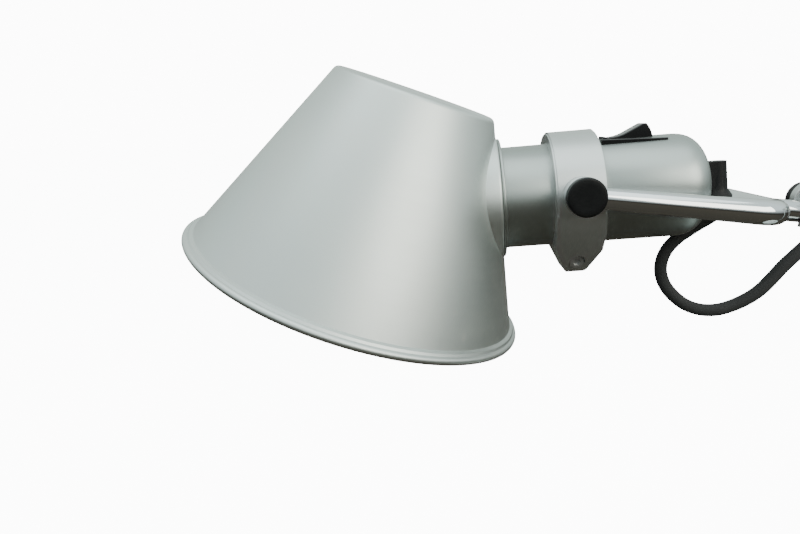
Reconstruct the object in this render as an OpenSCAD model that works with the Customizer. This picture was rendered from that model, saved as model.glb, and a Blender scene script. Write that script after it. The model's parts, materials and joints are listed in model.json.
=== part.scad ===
// Architect desk lamp with a spun shade, a clamp ring, a rod fork and two sprung arms.
// The origin is the centre of the base's underside, +Z up, and the head points to -X.

/* [Posture] */
// Lean of the lower arm from upright, towards +X, in degrees
lower_lean = 25; // [10:1:30]
// Fall of the upper arm from its elbow to its tip, in degrees
upper_fall = 20; // [5:1:25]
// Fall of the fork from the head's pivot to its stem, in degrees
fork_fall = 4.6; // [0:0.1:15]
// Rise of the head's tube towards its rear, in degrees
head_rise = 4.9; // [0:0.1:15]
// Turn of the shade about the tube's axis, in degrees
shade_roll = 3.5; // [0:0.1:10]

/* [Arms] */
// Length of the lower arm between its pivots
lower_arm_l = 420; // [380:5:520]
// Length of the upper arm between its elbow and the tip pivot
upper_arm_l = 400; // [360:5:500]
// Outside diameter of both arm tubes
arm_d = 20; // [18:0.5:24]
// Wall of both arm tubes
arm_wall = 1.5; // [1:0.1:2]
// Outside diameter of the balance springs
spring_d = 8; // [7:0.5:8.5]
// Wire of the balance springs
spring_wire = 1.2; // [0.8:0.1:1.6]
// Diameter of the lead inside the arms
lead_d = 4.4; // [4:0.1:5]
// Diameter of the joint discs at the arms' ends
joint_d = 32; // [28:1:38]
// Thickness of one joint ear
ear_t = 6; // [4:0.5:8]
// Diameter of the joint pins
pin_d = 8; // [6:0.5:10]

/* [Base] */
// Diameter of the base
base_d = 230; // [200:5:280]
// Height of the base's cover above the table
base_h = 22; // [18:1:30]
// Wall of the base's cover
base_wall = 2; // [1.5:0.1:3]
// Radius of the cover's top edge
base_edge_r = 7; // [3:0.5:9]
// Thickness of the pad under the base
pad_t = 2; // [1:0.5:4]
// Thickness of the cast weight
weight_t = 12; // [8:1:14]
// Height of the lower arm's pivot above the table
pivot_h = 66; // [60:1:80]
// Diameter of the swivel shaft
shaft_d = 14; // [12:0.5:18]

/* [Shade] */
// Diameter over the shade's rim bead
shade_d = 180; // [150:2:220]
// Diameter of the shade's closed top
shade_top_d = 81; // [74:1:100]
// Height of the shade along its own axis
shade_h = 100; // [90:1:130]
// Wall of the shade
shade_wall = 1.2; // [0.8:0.1:2]
// Radius of the rolled rim bead
bead_r = 1.9; // [1.4:0.1:2.4]
// Lean of the shade's axis from the tube's normal, in degrees
shade_lean = 23.6; // [20:0.1:26]
// Radius of the round seat pressed into the shade's side
seat_r = 31.5; // [30:0.5:34]

/* [Head tube] */
// Outside diameter of the head's tube
tube_d = 50.5; // [46:0.5:56]
// Wall of the head's tube
tube_wall = 1.4; // [1:0.1:2]
// Depth of the tube's axis below the tilt axis
tube_drop = 2.4; // [0:0.1:8]
// Distance from the tilt axis to the rear end of the housing
housing_l = 65.3; // [62:0.1:90]
// Length of the housing's rounded end
dome_l = 17.4; // [10:0.1:20]
// Radius of the outside of the clamp ring
ring_r = 30.8; // [30:0.2:34]
// Front face of the clamp ring, ahead of the tilt axis
ring_front = 10.9; // [8:0.1:14]
// Rear face of the clamp ring, behind the tilt axis
ring_rear = 11.8; // [9:0.1:12]
// Diameter of the clamp screw
clamp_screw_d = 4; // [3:0.5:5]
// Diameter of the bulb's globe
bulb_d = 60; // [45:1:60]

/* [Fork] */
// Half the distance between the fork's legs, centre to centre
leg_y = 36.5; // [36:0.5:44]
// Diameter of the fork's rod at its eyes
rod_eye_d = 9.7; // [8:0.1:11]
// Diameter of the fork's rod at its bends
rod_d = 11.3; // [9:0.1:12]
// Distance from the tilt axis to the fork's cross bar
fork_reach = 88.3; // [86:0.1:110]
// Radius of the fork's bends, on the rod's centre line
bend_r = 12; // [11:0.5:14]
// Diameter of the fork's stem
stem_d = 10.8; // [9:0.1:11]
// Distance from the tilt axis to the fork's pivot on the arm
tip_x = 124.1; // [122:0.1:140]
// Height of that pivot above the tilt axis, square to the fork
tip_rise = 3.6; // [2:0.1:8]
// Diameter of the pivot's disc
tip_disc_d = 20; // [18:0.5:22]

/* [Fits] */
// Radial clearance of a running pin or shaft
run_gap = 0.05; // [0.02:0.01:0.1]
// Clearance between faces that slide past each other
face_gap = 0.3; // [0.2:0.05:0.5]

/* [Hidden] */
$fn = 96;

// Pivots in the object's frame, worked out from the arms
elbow_x = lower_arm_l * sin(lower_lean);
elbow_z = pivot_h + lower_arm_l * cos(lower_lean);
upper_turn = -90 - upper_fall;
tip_px = elbow_x - upper_arm_l * cos(upper_fall);
tip_pz = elbow_z - upper_arm_l * sin(upper_fall);
head_x = tip_px - tip_x * cos(fork_fall) - tip_rise * sin(fork_fall);
head_z = tip_pz + tip_x * sin(fork_fall) - tip_rise * cos(fork_fall);

// Arm tubes
arm_r = arm_d / 2;
arm_bore = arm_r - arm_wall;
plug_l = 22;
plug_r = arm_bore - 0.02;
joint_r = joint_d / 2;
ear_y = ear_t / 2;
ear_in = ear_y + face_gap;
ear_out = ear_in + ear_t;
cap_h = 5;
cap_r = joint_r - 2.5;
socket_start = joint_r + 12;
arm_start = socket_start + 18;
socket_r = 6.6;
lower_tube_l = lower_arm_l - 2 * arm_start;
tip_start = 34;
bush_l = 24;
bush_rim_t = 3;
tip_ring_t = 2.5;
upper_tube_l = upper_arm_l - arm_start - tip_start;
spring_l = 150;
spring_y = -3.4;
lead_y = 5.2;

// Base
base_r = base_d / 2;
cover_gap = 1;
weight_r = base_r - base_wall - cover_gap;
bush_r = shaft_d / 2 + 4;
bush_flange_r = bush_r + 4;
bush_flange_t = 2.5;
yoke_z = base_h + bush_flange_t + face_gap;
post_ring_t = 3;
recess_r = 22;
screw_circle_r = 60;
screw_n = 3;
gland_z = 11;
gland_r = 6.5;
base_lead_r = 3.5;

// Shade, in its own frame: the rim is at the plane Z = 0 and the axis is Z
wall_rim_r = shade_d / 2 - bead_r - 0.8;
top_r = shade_top_d / 2;
flare = atan((wall_rim_r - top_r) / shade_h);
wall_dr = shade_wall / cos(flare);
top_edge_r = 1.6;
bead_c = shade_d / 2 - bead_r;
bead_z = 0.4;
lip_h = 4.5;
// Centre of the rim, and the seat that lies against the flange, from the tilt axis and the tube's axis
rim_x = -112.8;
rim_z = -35.7;
seat_x = -35.4;

// Head tube
tube_r = tube_d / 2;
tube_bore = tube_r - tube_wall;
neck_front = -44;
neck_rear = -0.3;
flange_r = 29.6;
flange_t = 1.7;
lock_ring_r = tube_r + 3.5;
lock_ring_t = 5;
dome_power = 0.75;
boss_r = 8.2;
boss_y = 32;
washer_t = 1.2;
eye_t = 6;
eye_r = 8.6;
screw_r = 3;
cap_face_y = 45.2;
knob_r = 8.75;

// Lug under the clamp ring, measured from the tube's axis
lug_bottom = -39.1;
lug_y = 8.2;
lug_slit = 1.6;
clamp_screw_x = 0.6;
clamp_screw_z = -33;
clamp_head_r = 3.5;
clamp_seat_y = 10;

// Lamp holder and bulb
holder_r = 20;
holder_l = 52;
holder_x = -42;
socket_l = 27;
thread_r = 13.2;
cap_l = 26;
cap_x = -44;
bulb_l = 80;
bulb_neck_r = 13;
bulb_wall = 1;

// Switch, measured from the tube's axis
bezel_x0 = 14;
bezel_x1 = 45.2;
bezel_y = 10.6;
bezel_floor = 22.6;
bezel_front_z = 25.5;
bezel_rear_z = 24;
rocker_x = 28.3;
rocker_y = 5.2;
rocker_gap = 0.4;
window_x = 13.3;
switch_floor = 11.1;

// Cord gland, measured from the tube's axis
gland_x = 71.6;
gland_r0 = 5.2;
gland_r1 = 4.4;
gland_top = 10.2;
gland_bottom = -3.6;
collar_r = 7.2;
cord_r = 3.25;

// Fork
rod_r = rod_d / 2;
rod_eye_r = rod_eye_d / 2;
stem_r = stem_d / 2;
leg_drop = 0.4;
stem_drop = 1.6;
leg_x0 = 11;
stem_end = tip_x - 2;
block_x0 = tip_x - 6;
block_x1 = tip_x + 13;
block_y0 = -8;
block_y1 = 7.8;
block_z0 = -10;
block_z1 = tip_rise + 5.4;
disc_y0 = block_y1 + face_gap;
disc_t = 5;
disc_y1 = disc_y0 + disc_t;
tip_pin_r = 2.5;
tip_pin_y0 = block_y1 - 3;
tip_disc_r = tip_disc_d / 2;
shank_r = 4;
shank_l = 34;
ferrule_x = tip_x - 1.3;
ferrule_z = -14.7;
ferrule_lean = 37;
ferrule_r = cord_r + 1.3;
ferrule_l = 11;

// Strain relief from the gland's collar, measured from the tube's axis, with its radius at each point
RELIEF = [[72, 0, -10.3], [71.4, 1.6, -14.2], [69, 4, -17.6], [63.6, 6.5, -22.1], [57.7, 8.2, -27]];
RELIEF_R = [5.2, 4.9, 4.5, 4, 3.6];
// Route of the cord from the strain relief to the ferrule, in the level frame at the tilt axis
ROUTE = [[60, 8, -24.5], [55, 9, -30.5], [52, 9, -37], [51.5, 8.5, -44], [54, 8, -51], [59, 7, -57],
    [65.5, 6, -61.5], [73, 5, -63.5], [80.5, 4, -63], [87.5, 3.5, -60.5], [94, 2.5, -56.5],
    [99.5, 1.5, -51.5], [104.5, 1, -45], [109, 0.5, -38.5], [113.5, 0, -33], [118.5, 0, -27.5],
    [121, 0, -24.8]];

// Swept tube along points that keep mostly to an XZ plane, with a radius at each point
function unit(v) = v / norm(v);
function along(p, i) = unit(p[min(i + 1, len(p) - 1)] - p[max(i - 1, 0)]);
function ring_at(p, r, t, n) = let (a = unit(cross([0, 1, 0], t)), b = cross(t, a))
    [for (k = [0 : n - 1]) p + r * (a * cos(360 * k / n) + b * sin(360 * k / n))];
function tube_points(p, r, n) = [for (i = [0 : len(p) - 1]) each ring_at(p[i], r[i], along(p, i), n)];
function tube_sides(m, n) = [for (i = [0 : m - 2], k = [0 : n - 1])
    [i * n + k, (i + 1) * n + k, (i + 1) * n + (k + 1) % n, i * n + (k + 1) % n]];
function tube_faces(m, n) = concat([[for (k = [0 : n - 1]) k]], tube_sides(m, n),
    [[for (k = [n - 1 : -1 : 0]) (m - 1) * n + k]]);

module swept(p, r, n) {
    polyhedron(points = tube_points(p, r, n), faces = tube_faces(len(p), n), convexity = 4);
}

// Places
module at_head_level() { translate([head_x, 0, head_z]) children(); }
module at_head() { at_head_level() rotate([0, -head_rise, 0]) children(); }
module at_tube() { at_head() translate([0, 0, -tube_drop]) children(); }
module at_shade() {
    at_tube() rotate([shade_roll, 0, 0]) translate([rim_x, 0, rim_z]) rotate([0, shade_lean, 0]) children();
}
module at_fork() { at_head_level() rotate([0, fork_fall, 0]) children(); }
module at_wrist() { at_fork() translate([tip_x, 0, tip_rise]) children(); }
module at_lower() { translate([0, 0, pivot_h]) rotate([0, lower_lean, 0]) children(); }
module at_elbow() { translate([elbow_x, 0, elbow_z]) children(); }
module at_upper() { at_elbow() rotate([0, upper_turn, 0]) children(); }
module both_sides() {
    for (s = [-1, 1]) scale([1, s, 1]) children();
}

// Round bars along X and Y
module bar_x(r, x0, x1) { translate([x0, 0, 0]) rotate([0, 90, 0]) cylinder(r = r, h = x1 - x0); }
module bar_y(r, y0, y1) { translate([0, y1, 0]) rotate([90, 0, 0]) cylinder(r = r, h = y1 - y0); }
module pipe_x(r, bore, x0, x1) {
    difference() {
        bar_x(r, x0, x1);
        bar_x(bore, x0 - 1, x1 + 1);
    }
}
module box_at(x0, x1, y0, y1, z0, z1) {
    translate([x0, y0, z0]) cube([x1 - x0, y1 - y0, z1 - z0]);
}

// ---- Base ----
module base_pad() {
    color("dimgray")
    cylinder(r = base_r - 3, h = pad_t);
}

module base_weight() {
    color("darkslategray")
    difference() {
        translate([0, 0, pad_t]) cylinder(r = weight_r, h = weight_t);
        translate([0, 0, pad_t - 1]) cylinder(r = recess_r, h = post_ring_t + 3);
        cylinder(r = bush_r, h = base_h);
        for (i = [0 : screw_n - 1]) {
            rotate([0, 0, 60 + 360 * i / screw_n]) translate([screw_circle_r, 0, 0])
                cylinder(r = 2, h = base_h);
        }
        translate([0, 0, gland_z]) bar_x(base_lead_r, recess_r - 2, base_r);
        translate([0, 0, gland_z]) bar_x(gland_r + 0.5, weight_r - 14, base_r);
    }
}

module base_cover() {
    inner_r = base_r - base_wall;
    color("silver")
    difference() {
        rotate_extrude() polygon(concat(
            [[bush_r, base_h], [base_r - base_edge_r, base_h]],
            [for (a = [75 : -15 : 0]) [base_r + base_edge_r * (cos(a) - 1), base_h + base_edge_r * (sin(a) - 1)]],
            [[base_r, pad_t], [inner_r, pad_t], [inner_r, base_h - base_edge_r]],
            [for (a = [15 : 15 : 90]) [base_r - base_edge_r + (base_edge_r - base_wall) * cos(a),
                base_h - base_edge_r + (base_edge_r - base_wall) * sin(a)]],
            [[bush_r, base_h - base_wall]]));
        translate([0, 0, gland_z]) bar_x(gland_r - 1.5, inner_r - 6, base_r + 1);
    }
}

module base_bush() {
    color("dimgray")
    difference() {
        union() {
            translate([0, 0, pad_t + post_ring_t + 2]) cylinder(r = bush_r, h = base_h - pad_t - post_ring_t - 2);
            translate([0, 0, base_h]) cylinder(r = bush_flange_r, h = bush_flange_t);
        }
        cylinder(r = shaft_d / 2 + run_gap, h = base_h + bush_flange_t + 1);
    }
}

module base_gland() {
    color("black")
    translate([0, 0, gland_z])
    difference() {
        union() {
            bar_x(gland_r - 1.5, base_r - 12, base_r);
            bar_x(gland_r, base_r, base_r + 5);
            translate([base_r + 5, 0, 0]) rotate([0, 90, 0]) cylinder(r1 = gland_r - 1, r2 = 4.4, h = 13);
        }
        bar_x(base_lead_r, base_r - 13, base_r + 20);
    }
}

module base_screws() {
    color("gray")
    for (i = [0 : screw_n - 1]) {
        rotate([0, 0, 60 + 360 * i / screw_n]) translate([screw_circle_r, 0, pad_t])
            cylinder(r = 2, h = base_h - base_wall - pad_t);
    }
}

// ---- Swivel post ----
module swivel_post() {
    color("silver")
    difference() {
        union() {
            translate([0, 0, pad_t + 1]) cylinder(r = shaft_d / 2, h = yoke_z);
            translate([0, 0, yoke_z]) cylinder(r = 15, h = 6);
            both_sides() {
                translate([0, 0, pivot_h]) bar_y(joint_r - 2, ear_in, ear_out);
                box_at(-12, 12, ear_in, ear_out, yoke_z, pivot_h);
            }
        }
        translate([0, 0, pivot_h]) bar_y(pin_d / 2, -20, 20);
        cylinder(r = base_lead_r, h = yoke_z + 7);
    }
}

module post_ring() {
    color("gray")
    translate([0, 0, pad_t + 1])
    difference() {
        cylinder(r = bush_r + 3, h = post_ring_t);
        translate([0, 0, -1]) cylinder(r = shaft_d / 2, h = post_ring_t + 2);
    }
}

module joint_pin() { bar_y(pin_d / 2, -ear_out - 2, ear_out + 2); }

module joint_caps() {
    both_sides() difference() {
        union() {
            bar_y(cap_r, ear_out, ear_out + cap_h - 1);
            bar_y(cap_r - 1, ear_out + cap_h - 1, ear_out + cap_h);
        }
        bar_y(pin_d / 2, ear_out - 1, ear_out + 2);
    }
}

module post_pin() {
    color("gray") translate([0, 0, pivot_h]) joint_pin();
}

module post_caps() {
    color("black") translate([0, 0, pivot_h]) joint_caps();
}

// ---- Arm pieces, along local Z from a joint ----
module arm_tube(z0, l) {
    color("silver")
    difference() {
        translate([0, 0, z0]) cylinder(r = arm_r, h = l);
        translate([0, 0, z0 - 1]) cylinder(r = arm_bore, h = l + 2);
    }
}

// Cone and plug that hold the tube, with the ways for the lead and the spring's pull wire
module arm_socket() {
    translate([0, 0, socket_start]) cylinder(r1 = socket_r, r2 = arm_r + 1, h = arm_start - socket_start);
    translate([0, 0, arm_start]) cylinder(r = plug_r, h = plug_l);
}

module socket_ways() {
    translate([0, lead_y, socket_start - 1]) cylinder(r = lead_d / 2 + 0.2, h = plug_l + 30);
    translate([0, spring_y, arm_start + 4]) cylinder(r = spring_d / 2 + 0.2, h = plug_l);
}

// Single eye that turns on a pin
module arm_eye() {
    color("silver")
    difference() {
        union() {
            bar_y(joint_r - 2, -ear_y, ear_y);
            box_at(-8, 8, -ear_y, ear_y, 0, socket_start + 8);
            arm_socket();
        }
        bar_y(pin_d / 2 + run_gap, -20, 20);
        socket_ways();
    }
}

// Twin ears that hold a pin
module arm_clevis() {
    color("silver")
    difference() {
        union() {
            both_sides() {
                bar_y(joint_r - 2, ear_in, ear_out);
                box_at(-8, 8, ear_in, ear_out, 0, socket_start + 8);
            }
            arm_socket();
        }
        bar_y(pin_d / 2, -20, 20);
        socket_ways();
    }
}

// Closed-wound balance spring, as the sleeve that its turns fill
module arm_spring(z0) {
    color("lightgray")
    translate([0, spring_y, z0])
    difference() {
        cylinder(r = spring_d / 2, h = spring_l, $fn = 48);
        translate([0, 0, -1]) cylinder(r = spring_d / 2 - spring_wire, h = spring_l + 2, $fn = 48);
    }
}

// Pull wire from the joint's plug to the far end of the spring
module arm_hook(z0, z1) {
    color("gray")
    translate([0, spring_y, z0]) {
        cylinder(r = 0.8, h = z1 - z0, $fn = 24);
        translate([0, 0, z1 - z0 - 3]) cylinder(r = spring_d / 2 - spring_wire - 0.3, h = 3, $fn = 32);
    }
}

module arm_lead(z0, z1) {
    color("black")
    translate([0, lead_y, z0]) cylinder(r = lead_d / 2, h = z1 - z0, $fn = 32);
}

// ---- Lower arm ----
module lower_arm_tube() { at_lower() arm_tube(arm_start, lower_tube_l); }
module lower_eye() { at_lower() arm_eye(); }
module elbow_clevis() { at_lower() translate([0, 0, lower_arm_l]) mirror([0, 0, 1]) arm_clevis(); }
module lower_spring() { at_lower() arm_spring(arm_start + 40); }
module lower_spring_hook() { at_lower() arm_hook(arm_start + 4, arm_start + 40 + spring_l); }
module lower_lead() { at_lower() arm_lead(socket_start + 4, lower_arm_l - socket_start - 4); }
module elbow_pin() { color("gray") at_elbow() joint_pin(); }
module elbow_caps() { color("black") at_elbow() joint_caps(); }

// ---- Upper arm ----
module upper_arm_tube() { at_upper() arm_tube(arm_start, upper_tube_l); }
module elbow_eye() { at_upper() arm_eye(); }
module upper_spring() { at_upper() arm_spring(arm_start + 40); }
module upper_spring_hook() { at_upper() arm_hook(arm_start + 4, arm_start + 40 + spring_l); }
module upper_lead() { at_upper() arm_lead(socket_start + 4, arm_start + upper_tube_l - 34); }

module tip_bush() {
    end = arm_start + upper_tube_l;
    color("dimgray")
    at_upper()
    difference() {
        union() {
            translate([0, 0, end - bush_l]) cylinder(r = plug_r, h = bush_l);
            translate([0, 0, end]) cylinder(r = arm_r + 1, h = bush_rim_t);
        }
        translate([0, 0, end - bush_l - 1]) cylinder(r = shank_r + run_gap, h = bush_l + bush_rim_t + 2);
    }
}

// ---- Tip of the arm, turning about the arm's length ----
module tip_eye() {
    neck = tip_start - bush_rim_t - face_gap;
    color("silver")
    at_upper() translate([0, 0, upper_arm_l])
    difference() {
        union() {
            bar_y(tip_disc_r, disc_y0, disc_y1);
            box_at(-6, 6, disc_y0, disc_y1, -neck + 4, 0);
            translate([0, 0, -neck]) cylinder(r = arm_r + 1, h = 5);
            translate([0, 0, -neck - shank_l]) cylinder(r = shank_r, h = shank_l + 1);
        }
        bar_y(tip_pin_r + run_gap, 0, 20);
        difference() {
            bar_y(tip_disc_r - 1.8, disc_y0 - 1, disc_y0 + 0.7);
            bar_y(tip_disc_r - 3.7, disc_y0 - 2, disc_y0 + 2);
        }
    }
}

module tip_ring() {
    color("gray")
    at_upper() translate([0, 0, arm_start + upper_tube_l - bush_l - face_gap - tip_ring_t])
    difference() {
        cylinder(r = shank_r + 2.5, h = tip_ring_t);
        translate([0, 0, -1]) cylinder(r = shank_r, h = tip_ring_t + 2);
    }
}

// ---- Fork ----
module fork_leg() {
    straight_end = fork_reach - bend_r;
    translate([0, leg_y, 0]) {
        bar_y(eye_r, -eye_t / 2, eye_t / 2);
        translate([0, 0, -leg_drop]) {
            box_at(4, leg_x0 + 3, -eye_t / 2, eye_t / 2, -rod_eye_r + 0.6, rod_eye_r - 0.6);
            translate([leg_x0, 0, 0]) rotate([0, 90, 0])
                cylinder(r1 = rod_eye_r, r2 = rod_r, h = straight_end - leg_x0);
        }
    }
    translate([straight_end, leg_y - bend_r, -leg_drop])
        rotate_extrude(angle = 90) translate([bend_r, 0]) circle(r = rod_r);
}

module fork_rod() {
    color("lightgray")
    at_fork()
    difference() {
        union() {
            both_sides() fork_leg();
            translate([fork_reach, 0, -leg_drop]) bar_y(rod_r, -leg_y + bend_r, leg_y - bend_r);
            translate([0, 0, -stem_drop]) bar_x(stem_r, fork_reach, stem_end);
        }
        bar_y(screw_r + run_gap, -60, 60);
    }
}

module wrist_block() {
    color("silver")
    at_fork()
    difference() {
        box_at(block_x0, block_x1, block_y0, block_y1, block_z0, block_z1);
        translate([0, 0, -stem_drop]) bar_x(stem_r, block_x0 - 20, stem_end);
        translate([tip_x, 0, tip_rise]) bar_y(tip_pin_r, tip_pin_y0, block_y1 + 1);
        at_ferrule() cylinder(r = ferrule_r, h = ferrule_l);
    }
}

module wrist_pin() {
    color("gray")
    at_wrist() bar_y(tip_pin_r, tip_pin_y0, disc_y1 + 4);
}

module wrist_washer() {
    color("gray")
    at_wrist()
    difference() {
        bar_y(tip_disc_r - 2, disc_y1 + face_gap, disc_y1 + face_gap + washer_t);
        bar_y(tip_pin_r, disc_y1, disc_y1 + 4);
    }
}

module wrist_nut() {
    y0 = disc_y1 + face_gap + washer_t;
    color("black")
    at_wrist()
    difference() {
        union() {
            bar_y(tip_disc_r - 1, y0, y0 + 5);
            bar_y(tip_disc_r - 2, y0 + 5, y0 + 6);
        }
        bar_y(tip_pin_r, y0 - 1, disc_y1 + 4);
    }
}

// Frame of the ferrule: the mouth is at its origin and +Z runs into the block
module at_ferrule() { translate([ferrule_x, 0, ferrule_z]) rotate([0, ferrule_lean, 0]) children(); }

module cord_ferrule() {
    color("black")
    at_fork() at_ferrule()
    difference() {
        union() {
            cylinder(r = ferrule_r, h = ferrule_l);
            cylinder(r1 = ferrule_r + 1, r2 = ferrule_r, h = 3);
        }
        translate([0, 0, -1]) cylinder(r = cord_r + 0.1, h = ferrule_l - 1);
    }
}

module pivot_caps() {
    color("black")
    at_fork()
    both_sides() difference() {
        union() {
            bar_y(knob_r, leg_y + eye_t / 2, cap_face_y - 0.8);
            translate([0, cap_face_y - 0.8, 0]) rotate([-90, 0, 0])
                cylinder(r1 = knob_r, r2 = knob_r - 0.8, h = 0.8);
        }
        bar_y(screw_r + run_gap, leg_y, cap_face_y - 2);
    }
}

module friction_washers() {
    color("dimgray")
    at_fork()
    both_sides() difference() {
        bar_y(boss_r - 0.6, boss_y + face_gap, leg_y - eye_t / 2);
        bar_y(screw_r + run_gap, boss_y - 1, leg_y);
    }
}

module head_cord() {
    color("black")
    at_head_level() swept(ROUTE, [for (p = ROUTE) cord_r], 10);
}

// ---- Head ----
function arc(cx, cy, r, a0, a1, n) = [for (i = [0 : n]) let (a = a0 + (a1 - a0) * i / n)
    [cx + r * cos(a), cy + r * sin(a)]];

// Solid cone of the shade's outside, or of its inside when it is inset and runs out below
module shade_cone(inset, top, bottom) {
    rotate_extrude() polygon([[0, bottom], [wall_rim_r - inset - bottom * tan(flare), bottom],
        [wall_rim_r - inset - top * tan(flare), top], [0, top]]);
}

module shade() {
    color("silver")
    difference() {
        union() {
            at_shade() {
                rotate_extrude() polygon(concat(
                    [[0, lip_h], [0, shade_h], [top_r - top_edge_r, shade_h]],
                    arc(top_r - top_edge_r, shade_h - top_edge_r, top_edge_r, 75, flare, 3),
                    [[wall_rim_r - lip_h * tan(flare), lip_h]]));
                rotate_extrude() polygon(concat(
                    [[0, bead_z - bead_r], [0, lip_h], [wall_rim_r - lip_h * tan(flare), lip_h]],
                    arc(bead_c, bead_z, bead_r, 90, -90, 6)));
            }
            at_tube() bar_x(seat_r, seat_x - 30, seat_x);
        }
        difference() {
            at_shade() shade_cone(wall_dr, shade_h - shade_wall, -20);
            at_tube() bar_x(seat_r + shade_wall, seat_x - shade_wall, seat_x + 20);
        }
        at_tube() {
            bar_x(seat_r, seat_x, seat_x + 20);
            bar_x(seat_r - shade_wall, seat_x - 60, seat_x - shade_wall);
            bar_x(tube_r, seat_x - 10, seat_x + 10);
        }
    }
}

module shade_flange() {
    color("silver")
    at_tube() pipe_x(flange_r, tube_r, seat_x, seat_x + flange_t);
}

module shade_lock_ring() {
    color("white")
    at_tube() pipe_x(lock_ring_r, tube_r, seat_x - shade_wall - lock_ring_t, seat_x - shade_wall);
}

module neck_tube() {
    color("silver")
    at_tube() pipe_x(tube_r, tube_bore, neck_front, neck_rear);
}

// Solid round body that closes in a dome, as a superellipse with its end on the axis
module housing_form(r, end, dome) {
    rotate([0, 90, 0]) rotate_extrude() polygon(concat([[0, 0], [r, 0]],
        [for (a = [0 : 9 : 90]) [r * pow(cos(a), dome_power), end - dome + dome * pow(sin(a), dome_power)]]));
}

module rear_housing() {
    color("silver")
    at_tube()
    difference() {
        housing_form(tube_r, housing_l, dome_l);
        translate([-0.5, 0, 0]) housing_form(tube_bore, housing_l - tube_wall, dome_l - tube_wall);
        box_at(bezel_x0 + 1, bezel_x1 - 1, -bezel_y + 1.2, bezel_y - 1.2, 0, 40);
        box_at(bezel_x0, bezel_x1, -bezel_y, bezel_y, bezel_floor, 40);
        box_at(gland_x - 16, housing_l + 5, -gland_r1 + 1.5, gland_r1 - 1.5, gland_bottom + 3, gland_top - 4);
    }
}

// Solid clamp ring: the outline seen along the tube, cut to the outline seen along the tilt axis
module ring_form() {
    intersection() {
        union() {
            bar_x(ring_r, -ring_front + 0.8, ring_rear - 0.8);
            bar_x(ring_r - 0.8, -ring_front, ring_rear);
            translate([-ring_front, 0, 0]) rotate([90, 0, 90]) linear_extrude(height = ring_front + ring_rear)
                polygon([[-tube_r, 0], [-29.7, -8], [-27.6, -17.2], [-lug_y, lug_bottom + 0.6],
                    [-lug_y + 1.4, lug_bottom], [lug_y - 1.4, lug_bottom], [lug_y, lug_bottom + 0.6],
                    [27.6, -17.2], [29.7, -8], [tube_r, 0]]);
        }
        translate([0, ring_r + 1, 0]) rotate([90, 0, 0]) linear_extrude(height = 2 * ring_r + 2)
            polygon([[-ring_front, ring_r + 1], [-ring_front, -23], [-9.7, -26.2], [-4.9, lug_bottom + 1.2],
                [-3.8, lug_bottom], [4.4, lug_bottom], [6, lug_bottom + 1.2], [ring_rear, -26.6],
                [ring_rear, ring_r + 1]]);
    }
}

module clamp_ring() {
    color("gray")
    at_tube()
    difference() {
        union() {
            ring_form();
            translate([0, 0, tube_drop]) bar_y(boss_r, -boss_y, boss_y);
        }
        bar_x(tube_r, -ring_front - 1, ring_rear + 1);
        box_at(-20, 20, -lug_slit / 2, lug_slit / 2, lug_bottom - 1, -tube_r + 2);
        translate([clamp_screw_x, 0, clamp_screw_z]) {
            bar_y(clamp_screw_d / 2, -ring_r, ring_r);
            both_sides() bar_y(clamp_head_r + 0.3, clamp_seat_y, ring_r);
        }
        translate([0, 0, tube_drop]) both_sides() bar_y(screw_r - 0.5, tube_r - 1, boss_y + 1);
    }
}

module clamp_screw() {
    color("dimgray")
    at_tube() translate([clamp_screw_x, 0, clamp_screw_z])
    difference() {
        union() {
            bar_y(clamp_screw_d / 2, -clamp_seat_y, clamp_seat_y + 3);
            bar_y(clamp_head_r, -clamp_seat_y - 2.6, -clamp_seat_y);
        }
        translate([0, -clamp_seat_y - 0.8, 0]) rotate([90, 0, 0]) cylinder(r = 1.75, h = 5, $fn = 6);
    }
}

module clamp_nut() {
    color("dimgray")
    at_tube() translate([clamp_screw_x, clamp_seat_y + 2.4, clamp_screw_z])
    difference() {
        rotate([90, 0, 0]) cylinder(r = clamp_head_r, h = 2.4, $fn = 6);
        bar_y(clamp_screw_d / 2, -20, 20);
    }
}

module pivot_screws() {
    color("gray")
    at_head()
    both_sides() {
        bar_y(screw_r - 0.5, tube_r + 1, boss_y);
        bar_y(screw_r, boss_y, cap_face_y - 2.5);
    }
}

module lamp_holder() {
    color("white")
    at_tube()
    difference() {
        union() {
            bar_x(holder_r, holder_x, holder_x + holder_l - 22);
            bar_x(tube_bore, holder_x + holder_l - 22, holder_x + holder_l - 18);
            bar_x(holder_r - 4, holder_x + holder_l - 18, holder_x + holder_l);
        }
        bar_x(thread_r + 0.5, holder_x - 1, holder_x + socket_l);
    }
}

module contact_tongue() {
    color("gold")
    at_tube() box_at(holder_x + socket_l - 2.4, holder_x + socket_l, -4, 4, -3, 3);
}

module bulb_cap() {
    color("silver")
    at_tube() {
        bar_x(thread_r, cap_x, cap_x + cap_l - 5);
        bar_x(6, cap_x + cap_l - 5, cap_x + cap_l);
    }
}

// Half outline of the bulb's glass, set in by an inset
function bulb_outline(inset) = let (r = bulb_d / 2, ball = bulb_l - r) concat(
    [[bulb_neck_r - inset, 0], [bulb_neck_r + 1.5 - inset, 8], [bulb_neck_r + 6.5 - inset, ball - 27]],
    arc(0, ball, r - inset, -40, 90, 9));

module bulb_glass() {
    inner = bulb_outline(bulb_wall);
    color("white")
    at_tube() translate([cap_x, 0, 0]) rotate([0, -90, 0]) rotate_extrude()
        polygon(concat(bulb_outline(0), [for (i = [len(inner) - 1 : -1 : 0]) inner[i]]));
}

// ---- Switch ----
module switch_window(z0, z1) {
    box_at(rocker_x - window_x, rocker_x + window_x, -rocker_y - rocker_gap, rocker_y + rocker_gap, z0, z1);
}

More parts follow.
